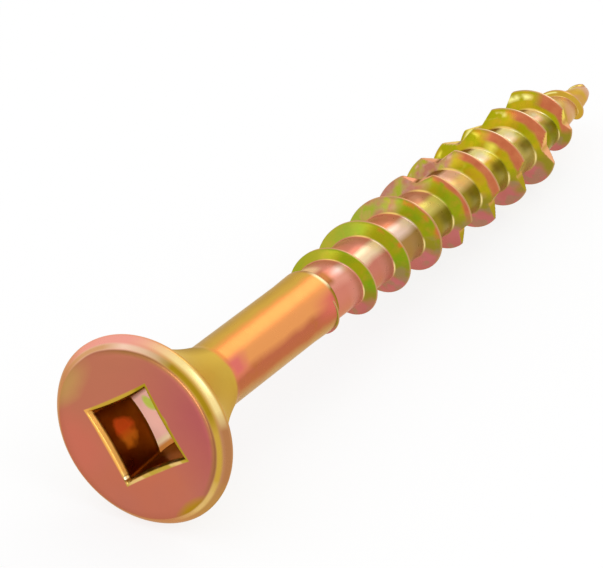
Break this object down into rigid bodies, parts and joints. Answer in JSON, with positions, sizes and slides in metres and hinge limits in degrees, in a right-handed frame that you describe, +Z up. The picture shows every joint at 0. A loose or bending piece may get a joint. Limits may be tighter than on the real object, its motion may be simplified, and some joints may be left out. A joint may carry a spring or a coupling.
{
  "type": "construction screw",
  "caption": "Flat-head construction screw with a square recess, smooth shank, coarse right-hand wood thread with notched crests, and a sharp point.",
  "frame": {"origin": "middle of the base of the screw's box, on the surface that it lies on", "axes": "+X along the screw as it lies, from the head to the tip, seen from above; +Z up"},
  "size_m": [0.0414, 0.0082, 0.0082],
  "materials": {
    "yellow_zinc_steel": "yellow zinc plate, iridescent, satin"
  },
  "bodies": {
    "root": {"screw": "yellow_zinc_steel"}
  },
  "joints": []
}
